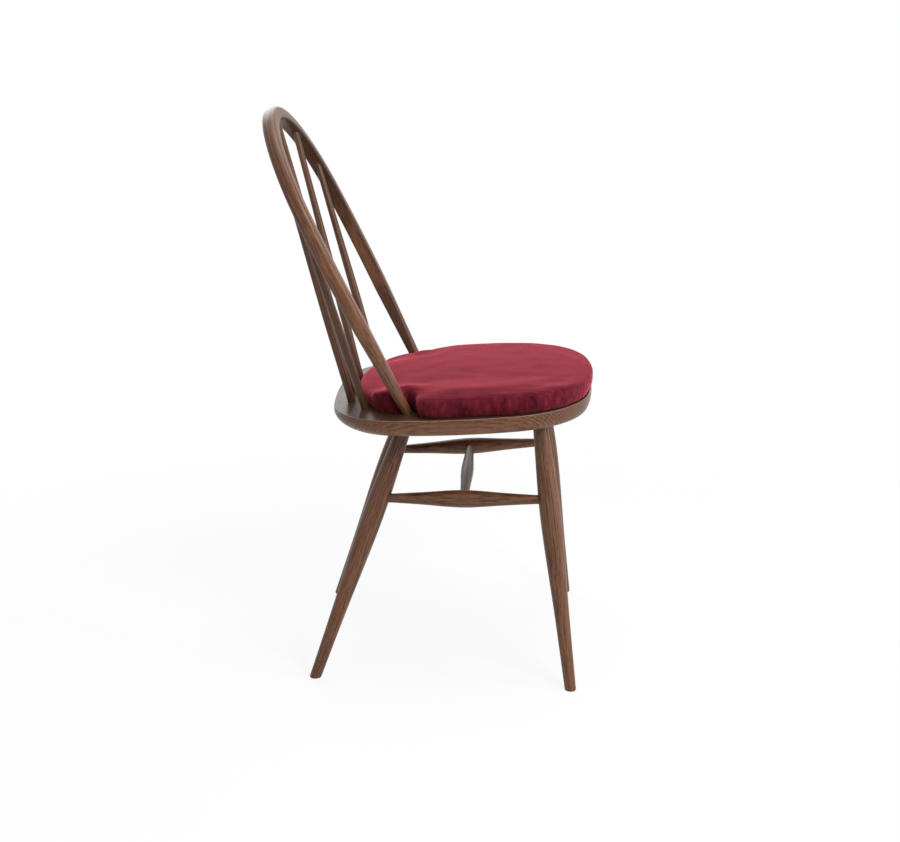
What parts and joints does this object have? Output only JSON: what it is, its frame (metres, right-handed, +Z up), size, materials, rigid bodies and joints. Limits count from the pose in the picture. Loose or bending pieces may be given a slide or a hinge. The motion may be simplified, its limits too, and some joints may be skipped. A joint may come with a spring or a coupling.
{
  "type": "hoop-back side chair",
  "caption": "Hoop-back wooden side chair with splayed turned legs, stretchers, slender back spindles and a loose velvet seat pad that lifts off.",
  "frame": {"origin": "on the floor, under the middle of the chair's overall box", "axes": "+Z up, -Y the way the sitter faces, +X the sitter's left"},
  "size_m": [0.4325, 0.5229, 0.8937],
  "materials": {
    "wood": "dark walnut stain under a satin lacquer",
    "wedge": "dark stained end grain",
    "velvet": "wine red velvet",
    "pad_cloth": "plain woven cloth",
    "foam": "soft open foam"
  },
  "bodies": {
    "frame": {"seat": "wood", "back_hoop": "wood", "spindle_centre": "wood", "spindle_inner_left": "wood", "spindle_inner_right": "wood", "spindle_outer_left": "wood", "spindle_outer_right": "wood", "leg_front_left": "wood", "leg_front_right": "wood", "leg_rear_left": "wood", "leg_rear_right": "wood", "side_stretcher_left": "wood", "side_stretcher_right": "wood", "cross_stretcher": "wood", "leg_wedge_front_left": "wedge", "leg_wedge_front_right": "wedge", "leg_wedge_rear_left": "wedge", "leg_wedge_rear_right": "wedge", "hoop_wedge_left": "wedge", "hoop_wedge_right": "wedge"},
    "pad": {"pad_cover": "velvet", "pad_base": "pad_cloth", "pad_foam": "foam"}
  },
  "joints": [
    {"name": "pad_lift", "type": "slide", "parent": "frame", "child": "pad", "axis": [0, 0, 1], "range_m": [0, 0.15]}
  ]
}
